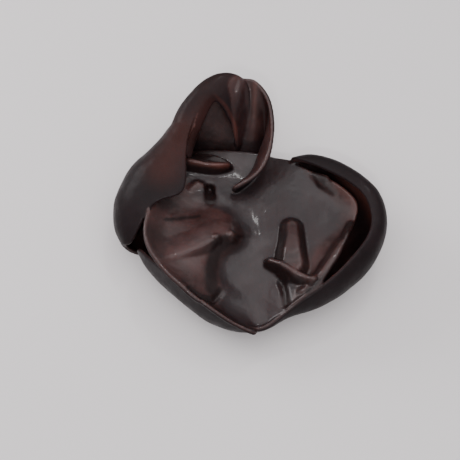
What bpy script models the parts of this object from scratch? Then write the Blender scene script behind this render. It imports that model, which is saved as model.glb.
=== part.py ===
"""A soaked wood ear mushroom: folded sheets of gelatinous flesh, grown together from one short foot.

Sizes are in millimetres until they are handed to Blender, which takes metres.
+X is right, +Y is back and +Z is up. The foot is cut flat at z = 0, with its middle at the origin.
"""

import math

import bmesh
import bpy
from mathutils import Vector

MM = 0.001

# Driving sizes.
FLESH = 1.9  # thickness of the soaked flesh
RIM_SHARE = 0.62  # how much of that is left at a free edge
FOOT_RADIUS = 12.0
FOOT_TOP_RADIUS = 13.5
FOOT_TOP = 14.6
FOOT_SIDES = 32
CUT_DEPTH = 3.0  # how far the foot reaches below the flat cut before it is made
GROUND_WIDTH = 200.0
CUP_CENTRE = (0.0, -2.0)  # where the cup's ribs leave the foot
HOOD_CENTRE = (-6.0, 4.0)  # where the hood's ribs leave it
RING_RADIUS = 4.0
RING_HEIGHT = 5.0
FLOOR_SHARE = 0.55  # where a rib's floor lies between the foot and its heel
CAGE_LEVELS = 3  # how many times each cage is halved into the smooth sheet
FACES_KEPT = 0.1  # the share of the triangles that is left when the body is thinned out
WELD_REACH = 0.05  # points nearer than this are one point
FLOOR_RISE = 3.2  # how far the inner sheet's low middle is swollen up
FLOOR_RISE_FULL = 13.0  # all of that up to this height
FLOOR_RISE_NONE = 18.0  # and none above this one

# Each rib of the outer sheets runs heel, flank, shoulder, brow, rim, and the ribs go clockwise seen
# from above: the cup on the right, then the apron round the front to the left.
CUP_RIBS = (
    ((12, 14, 9), (15, 19, 12), (17, 22, 16), (18, 23, 18.5), (18, 22, 20.5)),
    ((18, 14, 7), (23, 20, 12), (25, 24, 18), (25, 24, 22), (23, 20, 22.5)),
    ((27, 11, 0), (33, 18, 9), (35, 21, 19), (33, 20.5, 25.5), (32, 14.5, 24)),
    ((35, 5, -1.5), (43, 10, 8), (46, 14, 20), (43, 13.5, 28), (40, 8.5, 26.5)),
    ((39, -3, -2), (49, 1, 7), (54.5, 4, 20), (52, 4, 29), (46, 1.5, 28)),
    ((40, -9, -2), (50, -8, 7), (56.5, -7, 19), (54, -6.5, 27.5), (48.5, -6, 27)),
    ((38, -15, -2), (48, -17, 7), (53.5, -18, 18), (52.5, -17, 26), (47.5, -15, 27.5)),
    ((33, -21, -1.5), (42, -26, 7), (47, -28, 16.5), (46, -26.5, 24), (42, -23, 27.5)),
    ((26, -26, -1), (33, -33.5, 7), (36, -37.5, 14.5), (36, -36, 21), (33, -32.5, 26.5)),
    ((16, -30, 0), (22, -37.5, 7), (25, -42, 13), (26, -41.5, 18), (24.5, -38.5, 23.5)),
    ((8, -31, 0.5), (11, -39, 6.5), (13, -44, 11), (14, -45, 14), (13.5, -44, 17)),
    ((1, -33, 0), (2, -42, 4), (3, -48, 8), (4, -51.5, 11), (4, -52.5, 13)),
    ((-8, -34, -1), (-10, -43.5, 4), (-10.5, -49.5, 9), (-11, -50, 15), (-10, -48.5, 20.5)),
    ((-18, -30, -1.5), (-23, -37, 5), (-24, -41, 12.5), (-23, -41.5, 19.5), (-21, -41, 25.5)),
    ((-27, -23, -1.5), (-33, -28, 5.5), (-35, -31, 14), (-34.5, -31.5, 21), (-32, -31, 27)),
    ((-33, -18, -1.5), (-39, -21, 6), (-41, -23.5, 13), (-40.5, -24, 18.5), (-39, -24, 23)),
    ((-37, -13, 0), (-42.5, -15, 7), (-44.5, -16, 12.5), (-44.5, -17, 16), (-43.5, -18, 19)),
)

# The hood behind, from the lower end of its rolled side on the left, over the top, to the tip of
# its free wall on the right.
HOOD_RIBS = (
    ((-42, -13, -0.5), (-48, -14.5, 7), (-50.5, -14.5, 14), (-49.5, -15.5, 17.5), (-47, -17, 18.5)),
    ((-45, -8, -1.5), (-53.5, -8.5, 8), (-55, -7, 18), (-51, -7, 24), (-42.5, -11, 25.5)),
    ((-46, -2, -2), (-56, -0.5, 10), (-54.5, 3, 22), (-47, 4, 28.5), (-38, -1.5, 28.5)),
    ((-46, 3, -2), (-55, 6, 11), (-52, 9, 23), (-43, 9, 31), (-28, -1, 30)),
    ((-43, 10, -2), (-51, 14, 11), (-49, 18, 24), (-39, 16, 33), (-24, 3, 31)),
    ((-33, 22, -1), (-38, 26, 14), (-37, 26.5, 26), (-33, 22, 34), (-25.5, 20.5, 34)),
    ((-25, 27, -1), (-30, 34, 15), (-30, 38.5, 27), (-28, 36, 35), (-22, 31, 35.5)),
    ((-15, 26, 2), (-16, 29.5, 14), (-18.5, 36.5, 24), (-19.5, 44, 32.5), (-17.5, 46, 38.5)),
    ((-9, 26, 5), (-10, 31.5, 17), (-11.5, 37, 24), (-12, 45, 32), (-12, 50, 39)),
    ((-3.5, 26, 7), (-3, 32, 15), (-1.5, 39.5, 22), (0.3, 46.5, 29), (0.5, 50.5, 35)),
    ((3, 27, 8), (2.8, 32, 19.5), (2.4, 38.5, 27.5), (2.2, 45, 34), (3.3, 50, 36)),
    ((7, 28, 7), (7, 34, 14), (7.4, 40.5, 22), (8, 44, 29.5), (7.7, 44.8, 34.5)),
    ((9.5, 25, 7), (9.5, 31.5, 14), (10.2, 35.5, 22), (10.8, 37.5, 29), (10.2, 38, 34)),
    ((9, 20, 8), (7, 24.5, 12.5), (4.8, 27, 18.5), (7.5, 27.5, 25.5), (10.6, 27.2, 31)),
    ((5, 14, 8), (4, 16.5, 12.5), (2.2, 18, 18), (4.8, 18, 24), (8.6, 18.4, 28)),
    ((1, 10, 8), (0, 12, 12.5), (-2, 13, 17.5), (0.8, 12.3, 22.5), (4.6, 11.3, 25.5)),
    ((0.5, 8, 8.5), (-3, 9, 12), (-5.8, 9.2, 16.5), (-6.6, 8.2, 20), (-6.4, 6.8, 22)),
)

# The cowl closes the hood's top and ends in a crest that runs down the inside of its mouth. Each
# rib runs from the free edge back over the top, and the ribs go from the left round to the right.
COWL_RIBS = (
    ((-25, 18, 30.5), (-29.5, 20.5, 31.6), (-33, 22.5, 29.5), (-34, 23, 25)),
    ((-22, 30, 35.5), (-26, 34, 37), (-29, 36, 34), (-29.5, 35, 27)),
    ((-17.5, 38, 37.5), (-20.5, 42, 39.5), (-23, 45, 37), (-23, 43, 29)),
    ((-14.5, 42.5, 39), (-14, 47, 42), (-13, 51.5, 40), (-13, 48, 31)),
    ((-9.5, 38.5, 35), (-8, 45, 39), (-6.5, 52.8, 41.5), (-6, 50.4, 31.5)),
    ((-6.3, 34.5, 28.5), (-4.3, 41, 31.5), (-1.6, 51.5, 38.5), (-1, 51, 29.5)),
    ((-5, 32, 21.3), (-3.2, 36, 22.5), (0.3, 44, 29), (1, 46, 24)),
    ((-4.5, 30, 13), (-3.5, 31.5, 13.5), (-1, 34, 16), (0, 36, 15)),
)

# The inner sheet lies in the outer ones. Each rib runs from the rim on the left, down over the
# wing's ledge, across the middle and up to the edge inside the cup; the ribs go from back to front.
INNER_RIBS = (
    ((-35, 21, 15), (-29, 26.5, 13), (-22, 28.5, 13), (-16, 29, 13.5), (-9, 28.5, 13.5),
     (-3, 28.5, 13), (2, 28, 12.5), (6, 27.5, 12), (10, 26, 12), (14, 25, 12.5), (18, 24, 15)),
    ((-38, 13, 20), (-32, 14, 18.5), (-26, 15, 15.5), (-20, 16, 13.5), (-14, 17, 12.5),
     (-8, 18, 12), (-2, 19, 11.5), (4, 19, 11), (9, 18.5, 11.5), (15, 19.5, 12.5), (22, 20, 16.5)),
    ((-36.5, 5.5, 25.5), (-33, 5, 21), (-27, 4.5, 19), (-20, 4, 17), (-14, 4, 15), (-9, 5, 13),
     (-2, 6, 11.5), (6, 9, 11.5), (14, 14, 12.5), (22, 17, 15), (28, 16.5, 19)),
    ((-39.5, -4, 27.5), (-34, -5, 21.5), (-24, -1.5, 18), (-14, 0.5, 16), (-9, 0, 14.5),
     (-5, -1, 12.5), (2, 1, 11.5), (11, 5, 11.5), (20, 9, 13), (29, 12, 16), (35.5, 11.5, 21)),
    ((-41.5, -11.5, 28.5), (-35, -11.5, 22), (-22, -8.5, 22), (-13.5, -6.5, 21.5), (-5, -7, 20),
     (-1, -8, 13), (4, -4, 11.5), (13, -1, 12), (24, 2, 12.5), (35, 5, 15), (42, 5, 21.5)),
    ((-41, -18, 29), (-34.5, -17.5, 22.5), (-22, -14, 23), (-12, -12.5, 23), (-1.5, -13.5, 22.5),
     (2, -13, 13.5), (6, -9, 12), (14, -7, 12.5), (26, -5, 13.5), (38, -3, 14.5), (45.5, 0, 20.5)),
    ((-39, -24, 29), (-33, -23.5, 24), (-22, -19, 23.5), (-12, -16.5, 23), (-2.5, -17, 20.5),
     (1.5, -18, 12.5), (6, -15, 11.5), (14, -15, 13), (24, -14, 15.5), (34, -12, 16), (42, -9, 18)),
    ((-35.5, -29, 28.5), (-31, -28, 25), (-22, -23.5, 22.5), (-13.5, -21, 20.5), (-8.5, -21, 18.5),
     (-4, -21, 13), (5, -21, 11), (13, -21, 13), (22, -20, 16), (31, -18, 18), (38, -16.5, 24)),
    ((-30, -35, 28), (-28, -33, 25), (-20.5, -28.5, 22), (-14.5, -25.5, 20), (-10.5, -26, 18),
     (-5, -26, 12.5), (3, -26, 10.5), (12, -26, 13), (21, -26, 16.5), (29, -24.5, 19),
     (35.5, -23, 25)),
    ((-23, -40.5, 27), (-21.5, -38.5, 24), (-17, -34, 21.5), (-13.5, -31.5, 19.5), (-10.5, -31.5, 17),
     (-4.5, -31, 11.5), (3, -31, 10), (11, -31, 12.5), (19, -32, 16), (25.5, -31, 19.5),
     (31, -29.5, 25)),
    ((-14.5, -46, 24.5), (-13.5, -44, 21.5), (-11.5, -40, 18), (-9, -37.5, 15.5), (-5.5, -36, 12.5),
     (-1, -36, 10), (3, -36, 9.5), (9, -36, 12), (15, -37, 15), (21, -37.5, 19),
     (27, -36.5, 24)),
    ((-6.5, -50.5, 20), (-6, -48.5, 17), (-5, -45, 11), (-3.5, -42.5, 9), (-1, -41, 8),
     (1, -40.5, 8), (4, -40, 8.5), (8, -40.5, 10.5), (13, -41, 13), (17, -41, 16.5), (20.5, -40.5, 21)),
    ((3, -53.5, 14), (2.5, -51.5, 9.5), (2.5, -49, 7), (3, -47, 5.6), (3.5, -46, 5.2),
     (4, -45.5, 5.2), (5, -45, 5.6), (6.5, -44.5, 7), (8, -44.5, 9), (10.5, -44.5, 11.5),
     (13.5, -44, 15)),
)

# The tongue: a thick fold that stands in the hood's mouth. Each rib is a ring up its front, over its
# top and down its back.
TONGUE_RIBS = (
    ((-31, 17, 11), (-31, 16.6, 18), (-29.5, 17.8, 25.6), (-29, 21, 25), (-29, 24.2, 26.2),
     (-29.5, 26.8, 19), (-30, 27.8, 11)),
    ((-22, 14, 11), (-22, 14.1, 17.5), (-22, 16.6, 26), (-22, 20, 24.4), (-21.5, 23.6, 25.6),
     (-21.5, 26.3, 18), (-22, 26.9, 11)),
    ((-16, 13.6, 11), (-16, 14.1, 17), (-16, 16.4, 25.6), (-15.5, 20, 23.8), (-15, 23.3, 25),
     (-15, 25.8, 17.5), (-15, 26.4, 11)),
    ((-11, 14.2, 10.5), (-11, 14.8, 16), (-11, 16.8, 24.8), (-11, 20, 23.2), (-10.7, 22.7, 24.2),
     (-10.5, 24.8, 17), (-10.5, 25.9, 11)),
    ((-8.3, 15.3, 10), (-8.2, 16, 15), (-8, 17.5, 22.8), (-8, 20, 21.6), (-8, 22.2, 22.4),
     (-8.1, 23.8, 15.5), (-8.3, 24.8, 10)),
    ((-6.6, 17, 9), (-6.4, 17.4, 12), (-6.4, 18.6, 15.5), (-6.4, 20, 15.5), (-6.4, 21, 15.5),
     (-6.4, 22.3, 12), (-6.6, 23.2, 9)),
)

# Folds pushed up out of the smooth inner sheet, or furrows where the height is below zero. Each has
# a path of x, y, height and half the width of its flat top, how far it slopes off to the left and the
# right of that path, and the power of the slope. One that lies over the others doesn't add to them.
INNER_FOLDS = (
    # the valley behind the wing
    {"path": ((-35, -6, -0.5, 0.3), (-24, -3, -2.2, 0.3), (-17.5, 0.5, -2.8, 0.4), (-11, 1.5, -1.5, 0.3)),
     "left": 4.0, "right": 2.6, "power": 1.3},
    # the crease across the wing, down to its tip: it drops sharply on the near side
    {"path": ((-36, -27.5, 0.4, 0.1), (-27, -23.5, 1.4, 0.1), (-17.5, -19.5, 2.4, 0.1),
              (-11.5, -15, 2.4, 0.1), (-4, -13.8, 1.4, 0.4)),
     "left": 9.0, "right": 2.0, "power": 1.0},
    # the narrow groove down its front
    {"path": ((-12, -18, -1.6, 0.2), (-14.5, -24, -3.0, 0.3), (-16.2, -31, -2.6, 0.2),
              (-16.5, -35, -0.8, 0.1)),
     "left": 3.0, "right": 3.0, "power": 1.2},
    # the flat-topped fold that stands up in the cup, and the lip that crosses its end
    {"path": ((17.6, -8.5, 4.0, 1.2), (17.4, -14, 5.5, 1.5), (17, -20, 6.0, 2.4), (17, -25.5, 4.5, 3.0)),
     "left": 4.0, "right": 4.4, "power": 1.0},
    {"path": ((8.5, -23.5, 3.0, 0.6), (12.5, -26, 5.0, 0.8), (18, -30, 5.0, 0.8), (24.5, -33, 2.5, 0.6)),
     "left": 3.2, "right": 3.6, "power": 1.2, "over": True},
    # the groove below it, and the low ridge under the hood's flap
    {"path": ((13, -31, -2.5, 0.2), (14, -36, -2.0, 0.2), (14.5, -41, -1.5, 0.2)),
     "left": 2.0, "right": 2.4, "power": 1.2},
    {"path": ((-19.5, 11, 1.0, 0.8), (-16.5, 7, 1.8, 1.4), (-15, 4, 1.2, 0.8)),
     "left": 3.0, "right": 3.0, "power": 1.2},
)

COLOUR = (0.055, 0.026, 0.022, 1.0)
ROUGHNESS = 0.3


def clear_scene():
    for obj in list(bpy.data.objects):
        bpy.data.objects.remove(obj, do_unlink=True)


def new_collection(name):
    collection = bpy.data.collections.new(name)
    bpy.context.scene.collection.children.link(collection)
    return collection


def move_to(obj, collection):
    for holder in obj.users_collection:
        holder.objects.unlink(obj)
    collection.objects.link(obj)


def flesh_material():
    material = bpy.data.materials.new("soaked_flesh")
    material.use_nodes = True
    shader = material.node_tree.nodes["Principled BSDF"]
    shader.inputs["Base Color"].default_value = COLOUR
    shader.inputs["Roughness"].default_value = ROUGHNESS
    shader.inputs["Metallic"].default_value = 0.0
    return material


def grown_from(centre, rib):
    """The rib's own points, led by one on the ring inside the foot and one on the floor."""
    heel = rib[0]
    run_x = heel[0] - centre[0]
    run_y = heel[1] - centre[1]
    share = RING_RADIUS / math.hypot(run_x, run_y)
    ring = (centre[0] + run_x * share, centre[1] + run_y * share, RING_HEIGHT)
    floor = tuple(a + (b - a) * FLOOR_SHARE for a, b in zip(ring, heel))
    return (ring, floor) + tuple(rib)


def swollen_up(rib):
    """The rib with its low middle raised."""
    span = FLOOR_RISE_NONE - FLOOR_RISE_FULL
    return [(x, y, z + FLOOR_RISE * min(max((FLOOR_RISE_NONE - z) / span, 0.0), 1.0)) for x, y, z in rib]


def new_cage(name, ribs, collection, closed=False):
    """A coarse mesh of four-sided faces between neighbouring ribs, which are rings if it is closed."""
    cage = bmesh.new()
    rows = [[cage.verts.new([c * MM for c in point]) for point in rib] for rib in ribs]
    for rib, following in zip(rows, rows[1:]):
        for column in range(len(rib) if closed else len(rib) - 1):
            beside = (column + 1) % len(rib)
            cage.faces.new((rib[column], following[column], following[beside], rib[beside]))
    if closed:
        cage.faces.new(rows[0])
        cage.faces.new(rows[-1])
        bmesh.ops.recalc_face_normals(cage, faces=cage.faces)
    mesh = bpy.data.meshes.new(name)
    cage.to_mesh(mesh)
    cage.free()
    sheet = bpy.data.objects.new(name, mesh)
    collection.objects.link(sheet)
    return sheet


def make_smooth(sheet):
    """Replace the sheet's cage by the smooth surface that it stands for."""
    smooth = sheet.modifiers.new("smooth", "SUBSURF")
    smooth.levels = CAGE_LEVELS
    smooth.render_levels = CAGE_LEVELS
    graph = bpy.context.evaluated_depsgraph_get()
    fine = bpy.data.meshes.new_from_object(sheet.evaluated_get(graph))
    sheet.modifiers.remove(smooth)
    coarse = sheet.data
    sheet.data = fine
    bpy.data.meshes.remove(coarse)
    fine.shade_smooth()


def fold_height(place, fold):
    """How far a fold lifts the point above this place in the plan, in millimetres."""
    nearest = 1.0
    height = 0.0
    for start, end in zip(fold["path"], fold["path"][1:]):
        first = Vector(start[:2])
        run = Vector(end[:2]) - first
        off = place - first
        share = min(max(off.dot(run) / run.length_squared, 0.0), 1.0)
        away = (off - run * share).length
        flat = start[3] + (end[3] - start[3]) * share
        reach = fold["left"] if run.cross(off) > 0 else fold["right"]
        slope = min(max((away - flat) / reach, 0.0), 1.0)
        if slope < nearest:
            nearest = slope
            height = start[2] + (end[2] - start[2]) * share
    return height * (1 - nearest) ** fold["power"]


def push_folds(sheet, folds):
    for vertex in sheet.data.vertices:
        place = Vector(vertex.co[:2]) / MM
        lift = 0.0
        for fold in folds:
            own = fold_height(place, fold)
            lift = max(lift, own) if fold.get("over") else lift + own
        vertex.co.z += lift * MM


def rim_points(mesh):
    """The points on edges that belong to one face only."""
    shell = bmesh.new()
    shell.from_mesh(mesh)
    points = {vertex.index for edge in shell.edges if edge.is_boundary for vertex in edge.verts}
    shell.free()
    return points


def add_flesh(sheet):
    """Flesh on both sides of the sheet, thinner at its open rims."""
    rim = rim_points(sheet.data)
    thick = sheet.vertex_groups.new(name="thick")
    inside = [vertex.index for vertex in sheet.data.vertices if vertex.index not in rim]
    thick.add(inside, 1.0, "REPLACE")
    flesh = sheet.modifiers.new("flesh", "SOLIDIFY")
    flesh.thickness = FLESH * MM
    flesh.offset = 0.0
    flesh.vertex_group = thick.name
    flesh.thickness_vertex_group = RIM_SHARE


def build_tongue(collection):
    """One solid fold: its ribs are rings, so it needs no flesh added."""
    tongue = new_cage("tongue", TONGUE_RIBS, collection, closed=True)
    make_smooth(tongue)
    return tongue


def build_sheet(name, ribs, collection, folds=()):
    sheet = new_cage(name, ribs, collection)
    make_smooth(sheet)
    push_folds(sheet, folds)
    add_flesh(sheet)
    return sheet


def build_foot(collection):
    """The short foot that the ear grew from."""
    bpy.ops.mesh.primitive_cone_add(
        vertices=FOOT_SIDES,
        radius1=FOOT_RADIUS * MM,
        radius2=FOOT_TOP_RADIUS * MM,
        depth=(FOOT_TOP + CUT_DEPTH) * MM,
        location=(0, 0, (FOOT_TOP - CUT_DEPTH) / 2 * MM),
    )
    foot = bpy.context.object
    foot.name = "foot"
    move_to(foot, collection)
    return foot


def build_ground(collection):
    """A block whose top is the flat cut."""
    bpy.ops.mesh.primitive_cube_add(size=GROUND_WIDTH * MM, location=(0, 0, -GROUND_WIDTH / 2 * MM))
    ground = bpy.context.object
    ground.name = "ground"
    move_to(ground, collection)
    return ground


def combine(body, helper, operation="UNION"):
    helper.hide_render = True
    helper.display_type = "WIRE"
    boolean = body.modifiers.new(helper.name, "BOOLEAN")
    boolean.operation = operation
    boolean.object = helper
    boolean.solver = "EXACT"


def weld(body):
    """Close up the hair-fine slivers that a cut leaves."""
    join = body.modifiers.new("weld", "WELD")
    join.merge_threshold = WELD_REACH * MM


def thin_out(body):
    """Fewer triangles, with the folds kept."""
    fewer = body.modifiers.new("fewer", "DECIMATE")
    fewer.ratio = FACES_KEPT
    fewer.use_collapse_triangulate = True


def main():
    clear_scene()
    parts = new_collection("wood_ear")
    helpers = new_collection("helpers")

    cup_ribs = [grown_from(CUP_CENTRE, rib) for rib in CUP_RIBS]
    hood_ribs = [grown_from(HOOD_CENTRE, rib) for rib in HOOD_RIBS]
    inner_ribs = [swollen_up(rib) for rib in INNER_RIBS]
    body = build_sheet("fruit_body", cup_ribs, parts)
    body.data.materials.append(flesh_material())
    combine(body, build_sheet("hood", hood_ribs, helpers))
    combine(body, build_sheet("cowl", COWL_RIBS, helpers))
    combine(body, build_sheet("inner_sheet", inner_ribs, helpers, INNER_FOLDS))
    combine(body, build_tongue(helpers))
    combine(body, build_foot(helpers))
    weld(body)
    thin_out(body)
    combine(body, build_ground(helpers), "DIFFERENCE")
    weld(body)


main()
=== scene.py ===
import math

import bmesh
import bpy
import numpy as np
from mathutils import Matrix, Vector, noise
from mathutils.bvhtree import BVHTree
from mathutils.kdtree import KDTree


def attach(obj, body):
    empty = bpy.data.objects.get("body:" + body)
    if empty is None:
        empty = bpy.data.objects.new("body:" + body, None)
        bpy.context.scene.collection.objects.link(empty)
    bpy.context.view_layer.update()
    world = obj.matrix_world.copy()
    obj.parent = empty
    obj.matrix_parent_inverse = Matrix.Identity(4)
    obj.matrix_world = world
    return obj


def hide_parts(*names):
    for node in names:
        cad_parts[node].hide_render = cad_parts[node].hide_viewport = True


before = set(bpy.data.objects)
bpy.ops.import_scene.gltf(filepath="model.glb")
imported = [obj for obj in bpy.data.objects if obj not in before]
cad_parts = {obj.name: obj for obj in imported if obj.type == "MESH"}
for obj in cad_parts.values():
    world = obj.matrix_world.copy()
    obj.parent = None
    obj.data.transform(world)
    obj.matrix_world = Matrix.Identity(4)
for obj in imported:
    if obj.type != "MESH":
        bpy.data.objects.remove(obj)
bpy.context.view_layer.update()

mm = 0.001
farAway = 1e9

# Places are in mm: +X right, +Y back, +Z up, with 0 in the middle of the foot's flat cut.
# A rib runs across a sheet of flesh, and a sheet is a row of ribs with a smooth skin over them.

flesh = {
    "thickness": 1.9,
    "rimShare": 0.62,      # how much of the thickness is left at a free edge
    "levels": 4,
    "leadIn": 0.55,        # how far along from the foot's ring to a rib's first point its lead-in point lies
    "voxel": 0.45,         # grain of the mesh that joins the sheets into one body
    "smoothing": 4,        # turns of smoothing that it gets
    "smoothBy": 0.5,
    "triangles": 190000,
    "crestTurns": 12,      # turns of smoothing of the crests that are painted
}


def ramp(values, none, full):
    # 0 at none, 1 at full, straight in between
    return np.clip((values - none) / (full - none), 0, 1)


def startRib(sheet, rib):
    # two points lead from the ring inside the foot out to the rib's own first point
    cx, cy = sheet["centre"]
    radius, height = sheet["ring"]
    runX, runY = rib[0][0] - cx, rib[0][1] - cy
    share = radius / math.hypot(runX, runY)
    start = np.array((cx + runX * share, cy + runY * share, height))
    lead = start + (np.array(rib[0]) - start) * flesh["leadIn"]
    return [tuple(start), tuple(lead)] + list(rib)


def meshFromRibs(name, ribs, closed=False):
    # closed: each rib is a ring, with a face on the first and the last
    cage = bmesh.new()
    rows = [[cage.verts.new([c * mm for c in p]) for p in rib] for rib in ribs]
    for rib, following in zip(rows, rows[1:]):
        for c in range(len(rib) if closed else len(rib) - 1):
            d = (c + 1) % len(rib)
            cage.faces.new((rib[c], following[c], following[d], rib[d]))
    if closed:
        cage.faces.new(rows[0])
        cage.faces.new(rows[-1])
        bmesh.ops.recalc_face_normals(cage, faces=cage.faces)
    mesh = bpy.data.meshes.new(name)
    cage.to_mesh(mesh)
    cage.free()
    return mesh


def bakeModifiers(obj):
    graph = bpy.context.evaluated_depsgraph_get()
    baked = bpy.data.meshes.new_from_object(obj.evaluated_get(graph))
    obj.modifiers.clear()
    obj.data = baked


def readPoints(mesh):
    points = np.zeros(len(mesh.vertices) * 3)
    mesh.vertices.foreach_get("co", points)
    return points.reshape(-1, 3)


def readNormals(mesh):
    normals = np.zeros(len(mesh.vertices) * 3, np.float32)
    mesh.vertex_normals.foreach_get("vector", normals)
    return normals.reshape(-1, 3).astype(float)


def writePoints(mesh, points):
    mesh.vertices.foreach_set("co", points.astype(np.float32).ravel())
    mesh.update()


def foldLift(points, fold):
    nearest = np.full(len(points), farAway)
    height = np.zeros(len(points))
    for a, b in zip(fold["path"], fold["path"][1:]):
        first, run = np.array(a[:2]), np.array(b[:2]) - np.array(a[:2])
        off = points[:, :2] - first
        share = np.clip(off @ run / (run @ run), 0, 1)
        gap = np.linalg.norm(off - share[:, None] * run, axis=1)
        side = run[0] * off[:, 1] - run[1] * off[:, 0]
        reach = np.where(side > 0, fold["left"], fold["right"])
        slope = np.clip((gap - a[3] - (b[3] - a[3]) * share) / reach, 0, 1)
        closer = slope < nearest
        nearest = np.where(closer, slope, nearest)
        height = np.where(closer, a[2] + (b[2] - a[2]) * share, height)
    return height * (1 - np.minimum(nearest, 1)) ** fold["power"]


def growSheet(name, ribs, folds=(), closed=False):
    sheet = bpy.data.objects.new(name, meshFromRibs(name, ribs, closed))
    bpy.context.scene.collection.objects.link(sheet)
    skin = sheet.modifiers.new("skin", "SUBSURF")
    skin.levels = skin.render_levels = flesh["levels"]
    bakeModifiers(sheet)
    points = readPoints(sheet.data)
    lift = np.zeros(len(points))
    for fold in folds:
        own = foldLift(points / mm, fold)
        lift = np.maximum(lift, own) if fold.get("over") else lift + own   # over: it doesn't pile up
    points[:, 2] += lift * mm
    writePoints(sheet.data, points)
    return sheet


def edgePoints(mesh):
    shell = bmesh.new()
    shell.from_mesh(mesh)
    found = [v.index for v in shell.verts if v.is_boundary]
    shell.free()
    return found


def thicken(sheet):
    thick = sheet.vertex_groups.new(name="thick")
    edge = set(edgePoints(sheet.data))
    thick.add([v.index for v in sheet.data.vertices if v.index not in edge], 1, "REPLACE")
    solid = sheet.modifiers.new("solid", "SOLIDIFY")
    solid.thickness = flesh["thickness"] * mm
    solid.offset = 0
    solid.vertex_group = "thick"
    solid.thickness_vertex_group = flesh["rimShare"]
    bakeModifiers(sheet)


sheets = {}


def keepSheet(name, sheet):
    sheets[name] = sheet
    print(name, "grown:", len(sheet.data.vertices), "points")


# The cup on the right, then the apron round the front to the left
cup = {
    "centre": (0, -2),
    "ring": (4, 5),      # radius and height of the ring inside the foot that the ribs start from
    "ribs": [
        [(12, 14, 9), (15, 19, 12), (17, 22, 16), (18, 23, 18.5), (18, 22, 20.5)],
        [(18, 14, 7), (23, 20, 12), (25, 24, 18), (25, 24, 22), (23, 20, 22.5)],
        [(27, 11, 0), (33, 18, 9), (35, 21, 19), (33, 20.5, 25.5), (32, 14.5, 24)],
        [(35, 5, -1.5), (43, 10, 8), (46, 14, 20), (43, 13.5, 28), (40, 8.5, 26.5)],
        [(39, -3, -2), (49, 1, 7), (54.5, 4, 20), (52, 4, 29), (46, 1.5, 28)],
        [(40, -9, -2), (50, -8, 7), (56.5, -7, 19), (54, -6.5, 27.5), (48.5, -6, 27)],
        [(38, -15, -2), (48, -17, 7), (53.5, -18, 18), (52.5, -17, 26), (47.5, -15, 27.5)],
        [(33, -21, -1.5), (42, -26, 7), (47, -28, 16.5), (46, -26.5, 24), (42, -23, 27.5)],
        [(26, -26, -1), (33, -33.5, 7), (36, -37.5, 14.5), (36, -36, 21), (33, -32.5, 26.5)],
        [(16, -30, 0), (22, -37.5, 7), (25, -42, 13), (26, -41.5, 18), (24.5, -38.5, 23.5)],
        [(8, -31, 0.5), (11, -39, 6.5), (13, -44, 11), (14, -45, 14), (13.5, -44, 17)],
        [(1, -33, 0), (2, -42, 4), (3, -48, 8), (4, -51.5, 11), (4, -52.5, 13)],
        [(-8, -34, -1), (-10, -43.5, 4), (-10.5, -49.5, 9), (-11, -50, 15), (-10, -48.5, 20.5)],
        [(-18, -30, -1.5), (-23, -37, 5), (-24, -41, 12.5), (-23, -41.5, 19.5), (-21, -41, 25.5)],
        [(-27, -23, -1.5), (-33, -28, 5.5), (-35, -31, 14), (-34.5, -31.5, 21), (-32, -31, 27)],
        [(-33, -18, -1.5), (-39, -21, 6), (-41, -23.5, 13), (-40.5, -24, 18.5), (-39, -24, 23)],
        [(-37, -13, 0), (-42.5, -15, 7), (-44.5, -16, 12.5), (-44.5, -17, 16), (-43.5, -18, 19)],
    ],
}

keepSheet("cup", growSheet("cupSheet", [startRib(cup, rib) for rib in cup["ribs"]]))

# The hood at the back, from its rolled side on the left to the free wall on the right
hood = {
    "centre": (-6, 4),
    "ring": (4, 5),
    "ribs": [
        [(-42, -13, -0.5), (-48, -14.5, 7), (-50.5, -14.5, 14), (-49.5, -15.5, 17.5), (-47, -17, 18.5)],
        [(-45, -8, -1.5), (-53.5, -8.5, 8), (-55, -7, 18), (-51, -7, 24), (-42.5, -11, 25.5)],
        [(-46, -2, -2), (-56, -0.5, 10), (-54.5, 3, 22), (-47, 4, 28.5), (-38, -1.5, 28.5)],
        [(-46, 3, -2), (-55, 6, 11), (-52, 9, 23), (-43, 9, 31), (-28, -1, 30)],
        [(-43, 10, -2), (-51, 14, 11), (-49, 18, 24), (-39, 16, 33), (-24, 3, 31)],
        [(-33, 22, -1), (-38, 26, 14), (-37, 26.5, 26), (-33, 22, 34), (-25.5, 20.5, 34)],
        [(-25, 27, -1), (-30, 34, 15), (-30, 38.5, 27), (-28, 36, 35), (-22, 31, 35.5)],
        [(-15, 26, 2), (-16, 29.5, 14), (-18.5, 36.5, 24), (-19.5, 44, 32.5), (-17.5, 46, 38.5)],
        [(-9, 26, 5), (-10, 31.5, 17), (-11.5, 37, 24), (-12, 45, 32), (-12, 50, 39)],
        [(-3.5, 26, 7), (-3, 32, 15), (-1.5, 39.5, 22), (-0.5, 47, 29), (-0.6, 51.3, 36.5)],
        [(3, 27, 8), (2.8, 32, 19.5), (2.4, 38.5, 27.5), (2.4, 45.5, 34), (3.0, 51, 37)],
        [(7, 28, 7), (7, 34, 14), (7.2, 40.5, 22), (7.8, 44.3, 29.5), (7.0, 46, 35)],
        [(9.5, 25, 7), (9.5, 31.5, 14), (9.8, 35.5, 22), (10.4, 38, 29), (9.6, 39.4, 33.5)],
        [(9, 20, 8), (7, 24.5, 12.5), (4.8, 27, 18.5), (7.5, 27.5, 25.5), (10.6, 27.2, 31)],
        [(5, 14, 8), (4, 16.5, 12.5), (2.2, 18, 18), (4.8, 18, 24), (8.6, 18.4, 28)],
        [(1, 10, 8), (0, 12, 12.5), (-2, 13, 17.5), (0.8, 12.3, 22.5), (4.6, 11.3, 25.5)],
        [(0.5, 8, 8.5), (-3, 9, 12), (-5.8, 9.2, 16.5), (-6.6, 8.2, 20), (-6.4, 6.8, 22)],
    ],
}

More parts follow.
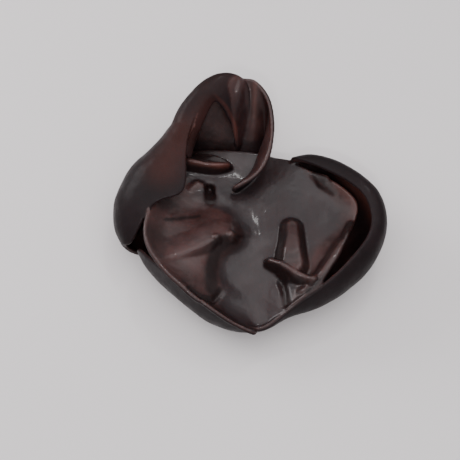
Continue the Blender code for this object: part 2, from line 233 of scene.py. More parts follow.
keepSheet("hood", growSheet("hoodSheet", [startRib(hood, rib) for rib in hood["ribs"]]))

# The cowl over the hood's top, each rib from its free edge to the back
cowl = {
    "ribs": [
        [(-24, 17, 26.5), (-25, 18, 29.8), (-28.5, 20.5, 31), (-32.5, 22.5, 30.2), (-34, 23, 26)],
        [(-21, 28.5, 31), (-22, 30, 34.6), (-26, 33.5, 36.3), (-30.5, 36, 33), (-31, 34.5, 27)],
        [(-17, 36, 33.5), (-17.8, 38, 37), (-20.5, 42, 39.8), (-24.5, 46, 37), (-24, 39.6, 28.5)],
        [(-14.2, 42, 37), (-14.6, 43, 39.3), (-14, 47.5, 42), (-13, 53.3, 40.5), (-13, 43.8, 30.5)],
        [(-9.8, 38.6, 33.5), (-9.9, 39, 35.6), (-8, 44.5, 38.5), (-6.5, 54.1, 42), (-5.5, 46.2, 30)],
        [(-6.4, 34.3, 27), (-6.3, 34.6, 29), (-4, 40, 31), (-1.2, 53.5, 40), (0.4, 46.8, 30)],
        [(-5, 31.4, 19.5), (-4.9, 31.8, 21.5), (-3, 35.5, 22.5), (0.8, 46, 33), (2, 42.8, 28.4)],
        [(-4.6, 29, 12.5), (-4.5, 29.6, 13.2), (-3, 31.5, 14.5), (0.4, 34, 18.6), (1.8, 33.8, 19)],
    ],
    "folds": [
        {"path": [(-4.4, 41.5, 0.2, 0.1), (-4.2, 45, 1.5, 0.2), (-3.2, 49, 0.5, 0.1)],
         "left": 1.3, "right": 1.6, "power": 1.0},
    ],
}

keepSheet("cowl", growSheet("cowlSheet", cowl["ribs"], cowl["folds"]))

# The smooth sheet in the middle, each rib from the wing on the left to the cup's inside
inner = {
    "floor": {"rise": 3.2, "allBelow": 13, "noneAbove": 18},   # its low middle is swollen up by rise
    "ribs": [
        [(-35, 21, 15), (-29, 26.5, 13), (-22, 28.5, 13), (-16, 29, 13.5), (-9, 28.5, 13.5),
         (-3, 28.5, 13), (2, 28, 12.5), (6, 27.5, 12), (10, 26, 12), (14, 25, 12.5), (18, 24, 15)],
        [(-38, 13, 20), (-32, 14, 18.5), (-26, 15, 15.5), (-20, 16, 13.5), (-14, 17, 12.5),
         (-8, 18, 12), (-2, 19, 11.5), (4, 19, 11), (9, 18.5, 11.5), (15, 19.5, 12.5), (22, 20, 16.5)],
        [(-36.5, 5.5, 25.5), (-33, 5, 21), (-27, 4.5, 19), (-20, 4, 17), (-14, 4, 15), (-9, 5, 13),
         (-2, 6, 11.5), (6, 9, 11.5), (14, 14, 12.5), (22, 17, 15), (28, 16.5, 19)],
        [(-39.5, -4, 27.5), (-34, -5, 21.5), (-24, -1.5, 18), (-14, 0.5, 16), (-9, 0, 14.5),
         (-5, -1, 12.5), (2, 1, 11.5), (11, 5, 11.5), (20, 9, 13), (29, 12, 16), (35.5, 11.5, 21)],
        [(-41.5, -11.5, 28.5), (-35, -11.5, 22), (-22, -8.5, 22), (-13.5, -6.5, 21.5), (-7.5, -7, 20),
         (-4, -8, 13), (4, -4, 11.5), (13, -1, 12), (24, 2, 12.5), (35, 5, 15), (42, 5, 21.5)],
        [(-41, -18, 29), (-34.5, -17.5, 22.5), (-22, -14, 23), (-13, -12.5, 23), (-6, -13.2, 22.3),
         (-2.4, -12.8, 13.5), (6, -9, 12), (14, -7, 12.5), (26, -5, 13.5), (38, -3, 14.5), (45.5, 0, 20.5)],
        [(-39, -24, 29), (-33, -23.5, 24), (-22, -19, 23.5), (-13, -16.5, 23), (-6.6, -16.4, 20.5),
         (-3, -17.2, 12.5), (6, -15, 11.5), (14, -15, 13), (24, -14, 15.5), (34, -12, 16), (42, -9, 18)],
        [(-35.5, -29, 28.5), (-31, -28, 25), (-22, -23.5, 22.8), (-16, -21.3, 21.4), (-12, -20.8, 18.6),
         (-8.8, -20.8, 13.5), (5, -21, 11), (13, -21, 13), (22, -20, 16), (31, -18, 18), (38, -16.5, 24)],
        [(-30, -35, 28), (-28, -33, 25), (-21, -28.5, 22.2), (-17, -26.5, 21.2), (-13.4, -26, 18.4),
         (-10.6, -26, 13), (3, -26, 10.5), (12, -26, 13), (21, -26, 16.5), (29, -24.5, 19),
         (35.5, -23, 25)],
        [(-23, -40.5, 27), (-21.5, -38.5, 24), (-18, -34.5, 21.8), (-16, -33, 20.8), (-13, -32, 18.3),
         (-10, -31.5, 12.5), (3, -31, 10), (11, -31, 12.5), (19, -32, 16), (25.5, -31, 19.5),
         (31, -29.5, 25)],
        [(-14.5, -46, 24.5), (-14, -44.5, 19.5), (-12.8, -41.5, 15.5), (-11, -38.5, 14), (-6.5, -36.5, 12.5),
         (-1.5, -36, 10), (3, -36, 9.5), (9, -36, 12), (15, -37, 15), (21, -37.5, 19),
         (27, -36.5, 24)],
        [(-6.5, -50.5, 20), (-6.2, -49.2, 15.5), (-5, -45, 11.4), (-3.5, -42.5, 9.8), (-1, -41, 9.2),
         (1, -40.5, 9.2), (4, -40, 9.4), (8, -40.5, 10.5), (13, -41, 13), (17, -41, 16.5), (20.5, -40.5, 21)],
        [(3, -53.5, 14), (2.5, -51.8, 11.5), (3, -51, 10), (3.8, -50.6, 9.4), (4.6, -50.2, 9.2),
         (5.6, -49.6, 9.2), (6.8, -48.6, 9.4), (8.2, -47.6, 9.8), (9.6, -46.5, 10.6), (11.4, -45.4, 12),
         (13.5, -44, 15)],
    ],
    # each fold runs along its path of x, y, height and half the width of its top;
    # left and right are how far it slopes off on each side of the path
    "folds": [
        # the valley behind the wing, and the thin crease beside it
        {"path": [(-35, -6, -0.5, 0.3), (-24, -3, -2.2, 0.3), (-17.5, 0.5, -2.8, 0.4), (-11, 1.5, -1.5, 0.3)],
         "left": 4.0, "right": 2.6, "power": 1.3},
        {"path": [(-35, -8, -0.3, 0.1), (-28, -6.4, -1.5, 0.1), (-20, -5, -1.0, 0.1), (-15, -6, -0.3, 0.1)],
         "left": 1.2, "right": 2.4, "power": 1.0},
        # the crease across the wing, down to its tip: it drops sharply on the near side
        {"path": [(-36, -27.5, 0.4, 0.1), (-27, -23.5, 1.4, 0.1), (-17.5, -19.5, 2.4, 0.1),
                  (-12, -16, 2.4, 0.1), (-7, -14, 1.4, 0.3)],
         "left": 9.0, "right": 2.0, "power": 1.0},
        # two small bumps by the tip
        {"path": [(-12.9, -16.3, 1.2, 0.3), (-12, -17, 1.2, 0.3)], "left": 1.2, "right": 1.2, "power": 1.2},
        {"path": [(-7.3, -13.8, 1.2, 0.3), (-6.6, -14.4, 1.2, 0.3)], "left": 1.0, "right": 1.0, "power": 1.2},
        # the narrow groove down the wing's front
        {"path": [(-12, -18, -2.0, 0.2), (-14.5, -24, -3.4, 0.3), (-16.2, -31, -3.0, 0.2),
                  (-16.5, -35, -1.0, 0.1)],
         "left": 1.8, "right": 1.6, "power": 1.0},
        # the flat-topped fold that stands up in the cup, and the lip that crosses its end
        {"path": [(17.6, -8.5, 4.0, 1.2), (17.4, -14, 5.5, 1.5), (17, -20, 6.0, 2.4), (17, -25.5, 5.0, 3.2)],
         "left": 3.2, "right": 3.6, "power": 0.9},
        {"path": [(8.5, -23.5, 4.0, 0.2), (12.5, -26, 6.0, 0.2), (18, -30, 5.6, 0.2), (24.5, -33, 2.5, 0.2)],
         "left": 1.3, "right": 2.0, "power": 0.8, "over": True},
        # the groove below it
        {"path": [(13, -31, -2.5, 0.2), (14, -36, -2.0, 0.2), (14.5, -41, -1.5, 0.2)],
         "left": 2.0, "right": 2.4, "power": 1.2},
        # the low ridge under the hood's flap, and the pit beside it
        {"path": [(-23.5, 9.2, 0.8, 0.3), (-21, 11.2, 1.6, 0.5), (-18.6, 10.8, 1.0, 0.3)],
         "left": 1.6, "right": 1.4, "power": 1.0},
        {"path": [(-16, 10.2, -3.4, 1.8), (-15.6, 3.6, -0.3, 2.0)],
         "left": 0.9, "right": 0.9, "power": 0.8},
        # a leaf and a lens by the cup's wall, and the slanting edge below them; painted shade darkens all
        # three
        {"path": [(27.5, 15.2, 0.6, 0.2), (31, 11.8, 1.6, 1.2), (35.3, 6.8, 0.6, 0.2)],
         "left": 1.0, "right": 1.2, "power": 0.8},
        {"path": [(41, -8.2, 1.2, 0.4), (40.2, -13.5, 2.6, 1.4), (38.6, -20.6, 1.4, 0.5)],
         "left": 1.3, "right": 1.4, "power": 0.8},
        {"path": [(36.6, -17, 0.8, 0.1), (32, -24.8, 1.6, 0.1), (28, -30.6, 1.8, 0.1), (21, -37, 1.2, 0.1)],
         "left": 1.2, "right": 2.6, "power": 0.9},
        # the furrow round the wing's front end
        {"path": [(-11.5, -36.5, -1.0, 0.2), (-14.5, -41, -2.4, 0.3), (-19, -41.5, -2.2, 0.3),
                  (-23.5, -39, -0.8, 0.1)],
         "left": 1.5, "right": 1.5, "power": 1.0},
    ],
}


def raiseFloor(ribs, floor):
    return [[(x, y, z + floor["rise"] * ramp(z, floor["noneAbove"], floor["allBelow"])) for x, y, z in rib]
            for rib in ribs]


keepSheet("inner", growSheet("innerSheet", raiseFloor(inner["ribs"], inner["floor"]), inner["folds"]))

# The thick fold that stands in the hood's mouth: each rib goes up its front, over the top and down
tongue = {
    "ribs": [
        [(-31, 17.5, 11), (-31, 18, 18), (-29.5, 21, 25.5), (-29, 23, 22), (-29, 25.4, 19),
         (-29.5, 27.4, 18.5), (-30, 28.4, 11)],
        [(-24, 16.4, 11), (-24, 16.6, 17.5), (-24, 19.9, 25.2), (-23.5, 22, 21.5), (-23, 24.5, 18.5),
         (-22.5, 26.8, 18), (-23, 27.4, 11)],
        [(-19, 15.8, 11), (-19, 16, 17), (-18.8, 18.6, 24.8), (-18.5, 20.6, 20.4), (-18, 24, 20.5),
         (-18, 26, 17.5), (-18, 26.8, 11)],
        [(-14.5, 15.4, 11), (-14.5, 15.7, 16.8), (-14.2, 18.2, 24.2), (-14, 20.4, 20), (-13.8, 23.2, 24),
         (-13.6, 25.2, 17), (-13.6, 26, 11)],
        [(-10.8, 16.2, 10.5), (-10.7, 16.6, 16), (-10.4, 18.6, 23.6), (-10.3, 20.1, 20.2), (-10, 21.8, 22.8),
         (-10, 23.8, 16.4), (-10.2, 24.6, 10.5)],
        [(-8, 17.4, 10), (-7.6, 17.8, 15), (-7.2, 19.2, 21.4), (-7.2, 20.2, 20.4), (-7.3, 21.2, 20.8),
         (-7.6, 22.4, 15), (-8, 23.2, 10)],
        [(-6.6, 18.6, 9), (-6.2, 18.8, 12), (-6, 19.4, 15.5), (-6, 20, 15.5), (-6, 20.6, 15.5),
         (-6.2, 21.4, 12), (-6.6, 22, 9)],
    ],
}

keepSheet("tongue", growSheet("tongueFold", tongue["ribs"], closed=True))

# The skin of each sheet is kept, to tell later which face of the flesh a point is on
skins = {}
for name, sheet in sheets.items():
    points = readPoints(sheet.data)
    faces = [tuple(p.vertices) for p in sheet.data.polygons]
    edge = [Vector(points[i]) for i in edgePoints(sheet.data)]
    skins[name] = {"tree": BVHTree.FromPolygons([Vector(p) for p in points], faces), "edge": edge}
    if edge:
        thicken(sheet)

foot = {"radius": 12, "topRadius": 13.5, "top": 14.6, "sides": 48, "below": 3}


def growFoot():
    bpy.ops.mesh.primitive_cone_add(vertices=foot["sides"], radius1=foot["radius"] * mm,
                                    radius2=foot["topRadius"] * mm, depth=(foot["top"] + foot["below"]) * mm,
                                    location=(0, 0, (foot["top"] - foot["below"]) / 2 * mm))
    stem = bpy.context.object
    stem.data.transform(stem.matrix_world)
    stem.matrix_world.identity()
    return stem


def joinFlesh(pieces):
    # one body: the sheets and the foot are joined and given one skin, then smoothed
    bpy.ops.object.select_all(action="DESELECT")
    for piece in pieces:
        piece.select_set(True)
    body = pieces[0]
    bpy.context.view_layer.objects.active = body
    bpy.ops.object.join()
    grain = body.modifiers.new("grain", "REMESH")
    grain.mode = "VOXEL"
    grain.voxel_size = flesh["voxel"] * mm
    grain.adaptivity = 0
    soft = body.modifiers.new("soft", "SMOOTH")
    soft.factor = flesh["smoothBy"]
    soft.iterations = flesh["smoothing"]
    bakeModifiers(body)
    return body


def cutFlat(body):
    # the flat cut at z = 0 that the ear rests on
    shell = bmesh.new()
    shell.from_mesh(body.data)
    everything = shell.verts[:] + shell.edges[:] + shell.faces[:]
    bmesh.ops.bisect_plane(shell, geom=everything, dist=1e-7, plane_co=(0, 0, 0), plane_no=(0, 0, 1),
                           clear_inner=True)
    rim = [e for e in shell.edges if e.is_boundary]
    bmesh.ops.triangle_fill(shell, edges=rim, use_beauty=True, normal=(0, 0, -1))
    bmesh.ops.triangulate(shell, faces=shell.faces)
    shell.to_mesh(body.data)
    shell.free()


wetWrinkles = {
    "swell": (9.0, 0.30),      # width and height of the slow swelling, mm
    "ripple": (3.2, 0.10),     # the same of the fine wrinkles
    "fullAbove": 2,            # below this height they fade out, so that the underside stays flat
    "seed": Vector((3.1, 7.7, 1.9)),
}


def wrinkle(body):
    points = readPoints(body.data)
    normals = readNormals(body.data)
    swellWidth, swellHeight = wetWrinkles["swell"]
    rippleWidth, rippleHeight = wetWrinkles["ripple"]
    lift = np.zeros(len(points))
    for i, p in enumerate(points / mm):
        place = Vector(p)
        swell = noise.noise(place / swellWidth + wetWrinkles["seed"])
        ripple = abs(noise.noise(place / rippleWidth + wetWrinkles["seed"]))
        lift[i] = swell * swellHeight - ripple * rippleHeight
    lift *= ramp(points[:, 2] / mm, 0, wetWrinkles["fullAbove"])
    writePoints(body.data, points + normals * (lift * mm)[:, None])


def thinOut(body):
    fewer = body.modifiers.new("fewer", "DECIMATE")
    fewer.ratio = min(1, flesh["triangles"] / len(body.data.polygons))
    bakeModifiers(body)


body = joinFlesh(list(sheets.values()) + [growFoot()])
print("joined:", len(body.data.vertices), "points")
wrinkle(body)
cutFlat(body)
thinOut(body)
body.name = "woodEar"
body.data.name = "woodEar"
body.data.shade_smooth()
print("thinned out:", len(body.data.polygons), "triangles")

points = readPoints(body.data)
normals = readNormals(body.data)
height = points[:, 2] / mm


def paintAttribute(name, values):
    layer = body.data.attributes.new(name, "FLOAT", "POINT")
    layer.data.foreach_set("value", np.asarray(values, np.float32))


def neighbourMean(mesh, values):
    # the mean of each point's neighbours along the mesh's edges
    pairs = np.zeros(len(mesh.edges) * 2, int)
    mesh.edges.foreach_get("vertices", pairs)
    a, b = pairs.reshape(-1, 2).T
    count = np.bincount(a, minlength=len(values)) + np.bincount(b, minlength=len(values))
    total = np.zeros_like(values)
    np.add.at(total, a, values[b])
    np.add.at(total, b, values[a])
    return total / (count[:, None] if values.ndim > 1 else count)


def lineGap(points, line):
    gap = np.full(len(points), farAway)
    for a, b in zip(line, line[1:]):
        first, run = np.array(a), np.array(b) - np.array(a)
        share = np.clip((points - first) @ run / (run @ run), 0, 1)
        gap = np.minimum(gap, np.linalg.norm(points - first - share[:, None] * run, axis=1))
    return gap


def readRimGap():
    # how far each point lies from a free edge, mm; the free edges get a painted glow by it
    edges = KDTree(sum(len(skin["edge"]) for skin in skins.values()))
    for skin in skins.values():
        for place in skin["edge"]:
            edges.insert(place, 0)
    edges.balance()
    return np.array([edges.find(Vector(p))[2] for p in points]) / mm


def readCrest():
    # how far each point stands out of its neighbours, mm; ridges get painted light by it, furrows painted
    # shade
    bend = neighbourMean(body.data, points) - points
    crest = -(bend * normals).sum(axis=1) / mm
    for turn in range(flesh["crestTurns"]):
        crest = 0.5 * crest + 0.5 * neighbourMean(body.data, crest)
    return crest


innerSide = {
    "skinReach": 6,    # how far off a skin is looked for
    # a place on each skin where its inner face looks up, or with -1 its outer one
    "looksUp": {"cup": ((10, -8, 8), 1), "hood": ((-22, 12, 8), 1), "inner": ((10, -8, 8), 1),
                "cowl": ((-14, 46, 41), -1)},
    "hollow": ("inner", "tongue"),    # the sheets that make the ear's hollow
}


def readSides():
    # side goes from -1 on the outer face to 1 on the inner one, and inHollow is 1 or 0
    signs = {"tongue": 0}    # the tongue is inner face all over
    for name, (place, innerUp) in innerSide["looksUp"].items():
        turned = skins[name]["tree"].find_nearest(Vector(place) * mm)[1]
        signs[name] = innerUp if turned.z > 0 else -innerUp
    half = flesh["thickness"] / 2 * mm
    side = np.zeros(len(points))
    inHollow = np.zeros(len(points))
    for i, p in enumerate(points):
        best = farAway
        for name, skin in skins.items():
            near, normal, face, gap = skin["tree"].find_nearest(Vector(p), innerSide["skinReach"] * mm)
            if near is not None and gap < best:
                best = gap
                inHollow[i] = name in innerSide["hollow"]
                side[i] = signs[name] * (Vector(p) - near).dot(normal) / half if signs[name] else 1
    return np.clip(side, -1, 1), inHollow


hoodTop = {
    # beside its crest the inner skin rolls out over the hood's top, along this line of x, y, z
    "rolledOut": [(-3, 33, 21), (-3, 38, 28.5), (-3.6, 44, 35), (-4.2, 46.5, 37.5)],
    "reach": 4.8,
    "edge": (2.5, 0.2),          # how steeply it starts, and how far in
    # it ends where the flesh turns to the back: the range of that turn, and how much it takes off
    "turningBack": (0.3, 0.8),
    "takenOff": 2,
    # behind this y and below this z, what faces back is outer face all over
    "backFrom": 30,
    "backBelow": 32,
    "facingBack": (0.3, 19 / 30),
}

side, inHollow = readSides()
outBy = 1 - lineGap(points / mm, hoodTop["rolledOut"]) / hoodTop["reach"]
outBy -= hoodTop["takenOff"] * ramp(normals[:, 1], *hoodTop["turningBack"])
steepness, shift = hoodTop["edge"]
side = np.maximum(side, np.clip(outBy * steepness - shift, -1, 1))
onBack = (points[:, 1] / mm > hoodTop["backFrom"]) & (height < hoodTop["backBelow"])
behind = ramp(normals[:, 1], *hoodTop["facingBack"]) * onBack
side = side * (1 - behind) - behind
rolledOut = ramp(outBy, 0, 0.5)

paintAttribute("innerFace", side * 0.5 + 0.5)
paintAttribute("rimGap", readRimGap())
paintAttribute("crest", readCrest())
print("painted: the inner face, the free edges and the crests")

paintedGlowPlaces = {
    # painted light: a warm glow painted where light would come through thin or stretched flesh, and on the
    # cup's inner wall to lift its shade: lines of x, y, z, with a reach and a strength
    "bothFaces": [
        ([(-34, 11, 32.5), (-29, 20, 34), (-26.5, 27, 35)], 13, 0.5),
        ([(-24, 33, 36), (-17, 43, 40), (-7, 50, 41)], 10, 0.15),
        ([(-22.5, 29, 34), (-17, 39, 36)], 8, 0.45),
        ([(-14, 42, 38.8), (-9, 38.3, 35), (-5.6, 34.2, 28.5), (-4.9, 31.8, 21)], 1.4, 0.6),
        ([(2.6, 38.5, 27), (2.6, 45, 33.5), (3, 49, 36)], 1.8, 0.3),
        ([(-24, 18.8, 23.6), (-16, 17.4, 23), (-8, 18.6, 20.8)], 2.6, 0.6),
    ],
    "innerFace": [
        ([(-18, 45, 33), (-14, 46.5, 30)], 8, 0.35),
        ([(52, -16, 19), (53.5, -5, 20), (50, 5, 21), (43, 13, 22)], 12, 1.0),
    ],
}


def paintGlow():
    # painted glow, as of light coming through the flesh, along the lines above
    paintedGlow = np.zeros(len(points))
    for where, lines in paintedGlowPlaces.items():
        for line, reach, strength in lines:
            near = ramp(lineGap(points / mm, line), reach, 0)
            if where == "innerFace":
                near *= side > 0
            paintedGlow = np.maximum(paintedGlow, strength * near * near * (3 - 2 * near))
    paintAttribute("paintedGlow", paintedGlow)


shaded = {
    # painted shade: walls that go down steeply into the hollow are painted dark
    "slope": (0.86, 0.56),       # how much a wall faces up where the shade starts, and where it is full
    "heights": (27, 21),         # the same by height
    "elsewhere": 0.35,           # how much of it is left outside the hollow
    "rolledOut": 0.9,            # how much of it is taken off there
    "strength": 0.92,
    # painted shade on flesh seen from above, between these heights none and full: lines of x, y with a reach
    "lineHeights": (10, 11),
    "lines": [
        ([(-33, -7.6), (-27, -6.2), (-20, -5)], 1.3),
        ([(-9.5, -17), (-13, -20), (-15, -28), (-14.4, -36)], 3.2),
        ([(-15.9, 10), (-15.6, 4)], 3.1),
        ([(-28, 24), (-20, 25.5)], 3.4),
        ([(-26, 23.5), (-18, 22.4), (-13, 21.6), (-9.5, 21)], 2.4),
        ([(27.8, 15), (31, 11.6), (35.2, 7)], 2.2),
        ([(41, -8.5), (40, -13.5), (38.6, -20.5)], 2.8),
        ([(39, -21), (34, -28), (29, -33.5), (23, -38)], 2.2),
        ([(13.5, -31), (14.2, -37), (14.6, -42)], 1.6),
        ([(-11.6, -35.5), (-14.5, -39.8), (-18.8, -40.2), (-23, -38)], 1.5),
        ([(-26, 26.5), (-18, 27), (-13, 29.5), (-8, 30.5)], 2.6),
    ],
}


def paintShade():
    # painted shade: steep walls and the listed lines are painted dark
    wallShade = ramp(normals[:, 2], *shaded["slope"]) * ramp(height, *shaded["heights"])
    wallShade *= shaded["elsewhere"] + (1 - shaded["elsewhere"]) * inHollow
    wallShade *= 1 - shaded["rolledOut"] * rolledOut
    shadeMarks = np.zeros(len(points))
    for line, reach in shaded["lines"]:
        near = ramp(lineGap(points[:, :2] / mm, line), reach, reach / 2)
        shadeMarks = np.maximum(shadeMarks, near * ramp(height, *shaded["lineHeights"]))
    paintAttribute("paintedShade", np.maximum(wallShade, shadeMarks) * shaded["strength"])
    return shadeMarks


wetFilm = {
    "heights": (18.9, 18.2),     # the low places of the hollow are wet: where it starts, where it is full
    "rolledOut": 0.6,            # how wet the skin is that rolls out over the hood's top
    # where shade is painted, the wet film is weaker by this share
    "shadeMarksDry": 0.8,             # how much drier the dark marks are
    "underside": 6,              # it fades out below this height
}


def paintWet(shadeMarks):
    wet = np.maximum(ramp(height, *wetFilm["heights"]), wetFilm["rolledOut"] * rolledOut)
    wet *= ramp(side, 0, 0.5) * ramp(height, 0, wetFilm["underside"]) * (1 - wetFilm["shadeMarksDry"] * shadeMarks)
    paintAttribute("wet", wet)


paintGlow()
paintWet(paintShade())
print("painted: warm, shaded and wet places")


def node(tree, kind, **settings):
    made = tree.nodes.new(kind)
    for key, value in settings.items():
        if key in made.inputs:
            made.inputs[key].default_value = value
        else:
            setattr(made, key, value)
    return made


def wire(tree, *pairs):
    for (fromNode, fromSocket), (toNode, toSocket) in pairs:
        tree.links.new(fromNode.outputs[fromSocket], toNode.inputs[toSocket])


def remap(tree, fromNode, fromSocket, low, high, outLow=0.0, outHigh=1.0):
    made = node(tree, "ShaderNodeMapRange", clamp=True)
    made.inputs["From Min"].default_value = low
    made.inputs["From Max"].default_value = high
    made.inputs["To Min"].default_value = outLow
    made.inputs["To Max"].default_value = outHigh
    tree.links.new(fromNode.outputs[fromSocket], made.inputs["Value"])
    return made


def tint(tree, factor, under, over):
    # lays colour over on colour under by factor; each is a colour or a (node, socket) pair
    made = node(tree, "ShaderNodeMix", data_type="RGBA", blend_type="MIX", clamp_factor=True)
    for value, index in ((factor, 0), (under, 6), (over, 7)):
        if isinstance(value[0], bpy.types.Node):
            tree.links.new(value[0].outputs[value[1]], made.inputs[index])
        else:
            made.inputs[index].default_value = value + (1,)
    return (made, 2)


# Both finishes are in both materials, blended at the border, so that no hard line shows there
innerFinish = {
    # the darker tone of the random mottling, also painted shade in furrows
    "darkToneAndCreaseShade": (0.022, 0.0090, 0.0085),
    "face": (0.060, 0.0250, 0.0235),
    # a paler tone for the random blotches, also painted light on ridges
    "paleToneAndRidgeLight": (0.080, 0.042, 0.040),
    # painted glow, as of light coming through thin flesh
    "paintedGlow": (0.15, 0.050, 0.038),
    # painted glow along the thin free edges
    "rim": (0.052, 0.025, 0.0235),
    # painted shade on steep walls and along the listed shade lines
    "paintedShade": (0.0100, 0.0042, 0.0042),
    "film": (0.0145, 0.0098, 0.0116),
    "roughness": (0.34, 0.50),   # between the blotches, on them
    "coat": (0.20, 0.22),        # on the dry flesh, in the wet film
    "nap": 0.15,                 # strength of the fine grain
    "sockets": {"Coat Roughness": 0.12, "Subsurface Weight": 0.25},
}

outerFinish = {
    # the darker tone of the random mottling, also painted shade in furrows
    "darkToneAndCreaseShade": (0.0070, 0.0040, 0.0045),
    "face": (0.0118, 0.0062, 0.0074),
    # a paler tone for the random blotches, also painted light on ridges
    "paleToneAndRidgeLight": (0.017, 0.0105, 0.0120),
    # painted glow, as of light coming through thin flesh
    "paintedGlow": (0.060, 0.0160, 0.0120),
    # painted glow along the thin free edges
    "rim": (0.034, 0.017, 0.017),
    # painted shade on steep walls and along the listed shade lines
    "paintedShade": (0.0050, 0.0030, 0.0034),
    "film": (0.010, 0.0065, 0.0070),
    "roughness": (0.44, 0.60),
    "coat": (0.05, 0.3),
    "nap": 0.6,
    "sockets": {"Coat Roughness": 0.20, "Subsurface Weight": 0.15, "Specular IOR Level": 0.2,
                "Sheen Weight": 0.02, "Sheen Roughness": 0.4, "Sheen Tint": (0.75, 0.68, 0.70, 1)},
}

surface = {
    # scale per metre, detail and roughness of each noise
    "cloud": {"Scale": 70, "Detail": 5, "Roughness": 0.55},
    "blotch": {"Scale": 240, "Detail": 4, "Roughness": 0.6},
    "speck": {"Scale": 1500, "Detail": 2, "Roughness": 0.5},
    # where each colour starts and is full, and how strong it gets
    "cloudy": (0.36, 0.62, 0, 1),
    "blotchy": (0.55, 0.78, 0, 0.5),
    # painted light on ridges, by how far a point stands out
    "ridge": (0.004, 0.05, 0, 0.6),
    # painted shade in furrows
    "furrow": (-0.004, -0.05, 0, 0.8),
    # painted glow near free edges
    "rim": (1.0, 0.2, 0, 0.45),          # mm from a free edge
    "film": (0, 1, 0, 0.75),
    "border": (0.25, 0.75),              # from the outer face to the inner one
    "rough": (0.35, 0.7),                # the range of the blotches that the roughness follows
    "glossInShade": 0.2,                 # how much of the coat is left there
    "bump": {"Strength": 0.40, "Distance": 0.0004},
    "napDepth": 0.00008,
    "coatBump": {"Strength": 0.12, "Distance": 0.0003},
    "sockets": {"Subsurface Radius": (1.0, 0.25, 0.15), "Subsurface Scale": 0.0008, "IOR": 1.38},
}


def fleshColour(tree, finish, masks):
    # colours laid on in turn: random mottling, paler blotches with painted light on ridges, painted shade in
    # furrows, the wet film, painted shade on walls and marks, painted glow through flesh, painted glow at
    # free edges
    colour = tint(tree, masks["cloud"], finish["darkToneAndCreaseShade"], finish["face"])
    for mask, name in (("blotch", "paleToneAndRidgeLight"), ("ridge", "paleToneAndRidgeLight"), ("furrow", "darkToneAndCreaseShade"), ("film", "film"),
                       ("paintedShade", "paintedShade"), ("paintedGlow", "paintedGlow"), ("rim", "rim")):
        colour = tint(tree, masks[mask], colour, finish[name])
    return colour


def fleshMaterial(name, finish):
    material = bpy.data.materials.new(name)
    material.use_nodes = True
    tree = material.node_tree
    tree.nodes.clear()
    shader = node(tree, "ShaderNodeBsdfPrincipled")
    out = node(tree, "ShaderNodeOutputMaterial")
    place = node(tree, "ShaderNodeTexCoord")
    painted = {layer: node(tree, "ShaderNodeAttribute", attribute_name=layer)
               for layer in ("rimGap", "crest", "paintedGlow", "wet", "paintedShade", "innerFace")}
    cloud, blotch, speck = (node(tree, "ShaderNodeTexNoise", **surface[kind])
                            for kind in ("cloud", "blotch", "speck"))
    wire(tree, *(((place, "Object"), (pattern, "Vector")) for pattern in (cloud, blotch, speck)))

    # masks for the colours: random cloud and blotches, painted light on ridges, painted shade in furrows and
    # on steep walls, painted glow near free edges and through thin flesh, and the wet film
    masks = {
        "cloud": (remap(tree, cloud, "Fac", *surface["cloudy"]), 0),
        "blotch": (remap(tree, blotch, "Fac", *surface["blotchy"]), 0),
        "ridge": (remap(tree, painted["crest"], "Fac", *surface["ridge"]), 0),
        "furrow": (remap(tree, painted["crest"], "Fac", *surface["furrow"]), 0),
        "rim": (remap(tree, painted["rimGap"], "Fac", *surface["rim"]), 0),
        "film": (remap(tree, painted["wet"], "Fac", *surface["film"]), 0),
        "paintedGlow": (painted["paintedGlow"], "Fac"),
        "paintedShade": (painted["paintedShade"], "Fac"),
    }
    border = remap(tree, painted["innerFace"], "Fac", *surface["border"])
    colour = tint(tree, (border, 0), fleshColour(tree, outerFinish, masks),
                  fleshColour(tree, innerFinish, masks))
    wire(tree, (colour, (shader, "Base Color")))

    def across(key, which):
        # a number that goes from the outer finish's to the inner one's over the border
        return (remap(tree, border, 0, 0, 1, outerFinish[key][which], innerFinish[key][which]), 0)

    rough = remap(tree, blotch, "Fac", *surface["rough"])
    wire(tree, (across("roughness", 0), (rough, "To Min")), (across("roughness", 1), (rough, "To Max")),
         ((rough, 0), (shader, "Roughness")))

    fine = node(tree, "ShaderNodeBump", **surface["bump"])
    grain = node(tree, "ShaderNodeBump", Strength=finish["nap"], Distance=surface["napDepth"])
    coatBump = node(tree, "ShaderNodeBump", **surface["coatBump"])
    wire(tree, ((blotch, "Fac"), (fine, "Height")), ((speck, "Fac"), (grain, "Height")),
         ((fine, "Normal"), (grain, "Normal")), ((grain, "Normal"), (shader, "Normal")),
         ((blotch, "Fac"), (coatBump, "Height")), ((coatBump, "Normal"), (shader, "Coat Normal")))

    coat = remap(tree, painted["wet"], "Fac", 0, 1)
    dull = remap(tree, painted["paintedShade"], "Fac", 0, 1, 1, surface["glossInShade"])
    gloss = node(tree, "ShaderNodeMath", operation="MULTIPLY")
    wire(tree, (across("coat", 0), (coat, "To Min")), (across("coat", 1), (coat, "To Max")),
         ((coat, 0), (gloss, 0)), ((dull, 0), (gloss, 1)), ((gloss, 0), (shader, "Coat Weight")),
         ((shader, "BSDF"), (out, "Surface")))
    for socket, value in (surface["sockets"] | finish["sockets"]).items():
        shader.inputs[socket].default_value = value
    return material


def dressBody():
    body.data.materials.clear()
    body.data.materials.append(fleshMaterial("wetInnerFace", innerFinish))
    body.data.materials.append(fleshMaterial("velvetOuterFace", outerFinish))
    corners = np.zeros(len(body.data.polygons) * 3, int)
    body.data.polygons.foreach_get("vertices", corners)
    velvety = side[corners.reshape(-1, 3)].mean(axis=1) < 0
    body.data.polygons.foreach_set("material_index", velvety.astype(np.int32))
    body.data.update()
    print("dressed:", int((~velvety).sum()), "wet triangles and", int(velvety.sum()), "velvety ones")


dressBody()
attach(body, "root")
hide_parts("fruit_body")

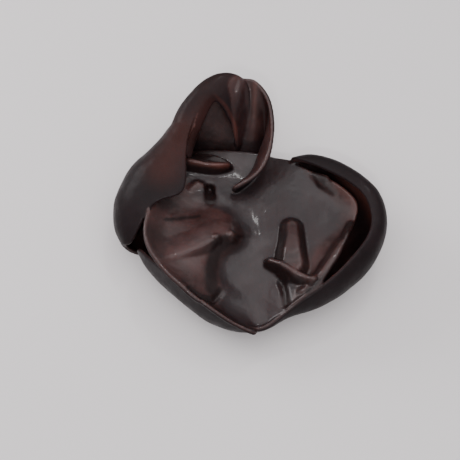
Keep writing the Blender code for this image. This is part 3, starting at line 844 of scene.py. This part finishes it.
studio = {
    "floorSide": 6,              # metres
    "floorColour": (0.83, 0.80, 0.805),
    "floorRoughness": 0.7,
    "airColour": (0.82, 0.80, 0.82),
    "airStrength": 0.50,
    "lightsAim": (0, 0, 15),
    # place, width, height, watts, colour
    "lights": [
        ("topSoftbox", (0, -150, 950), 1500, 1100, 7.5, (1.0, 0.98, 0.99)),
        ("backSoftbox", (40, 450, 850), 1300, 700, 2.0, (1.0, 0.98, 0.99)),
        ("leftSoftbox", (-560, 300, 330), 300, 300, 2.0, (1.0, 0.97, 0.98)),
        ("sparkle", (130, 330, 620), 50, 50, 0.35, (1.0, 0.99, 0.98)),
        ("frontSparkle", (-80, -560, 760), 60, 40, 1.3, (1.0, 0.99, 0.98)),
    ],
}


def layFloor():
    bpy.ops.mesh.primitive_plane_add(size=studio["floorSide"])
    floor = bpy.context.object
    floor.name = "studioFloor"
    paint = bpy.data.materials.new("matteFloor")
    paint.use_nodes = True
    shader = paint.node_tree.nodes["Principled BSDF"]
    shader.inputs["Base Color"].default_value = studio["floorColour"] + (1,)
    shader.inputs["Roughness"].default_value = studio["floorRoughness"]
    floor.data.materials.append(paint)


def hangLights():
    for name, place, width, height, watts, colour in studio["lights"]:
        lamp = bpy.data.lights.new(name, "AREA")
        lamp.shape = "RECTANGLE"
        lamp.size = width * mm
        lamp.size_y = height * mm
        lamp.energy = watts
        lamp.color = colour
        holder = bpy.data.objects.new(name, lamp)
        bpy.context.scene.collection.objects.link(holder)
        holder.location = Vector(place) * mm
        view = Vector(studio["lightsAim"]) - Vector(place)
        holder.rotation_euler = view.to_track_quat("-Z", "Y").to_euler()
    world = bpy.data.worlds.new("studioAir")
    bpy.context.scene.world = world
    world.use_nodes = True
    air = world.node_tree.nodes["Background"]
    air.inputs["Color"].default_value = studio["airColour"] + (1,)
    air.inputs["Strength"].default_value = studio["airStrength"]


cameraPlace = {"aim": (-7.5, -10.5, 20), "elevation": 63.86, "distance": 355, "lens": 69.5, "sensor": 36,
               "clipStart": 10}


def setCamera():
    lens = bpy.data.cameras.new("photoCamera")
    lens.lens = cameraPlace["lens"]
    lens.sensor_width = cameraPlace["sensor"]
    lens.clip_start = cameraPlace["clipStart"] * mm
    camera = bpy.data.objects.new("photoCamera", lens)
    bpy.context.scene.collection.objects.link(camera)
    tilt = math.radians(cameraPlace["elevation"])
    back = Vector((0, -math.cos(tilt), math.sin(tilt)))
    camera.location = (Vector(cameraPlace["aim"]) + back * cameraPlace["distance"]) * mm
    camera.rotation_euler = (-back).to_track_quat("-Z", "Y").to_euler()
    bpy.context.scene.camera = camera


layFloor()
hangLights()
setCamera()
print("studio set")
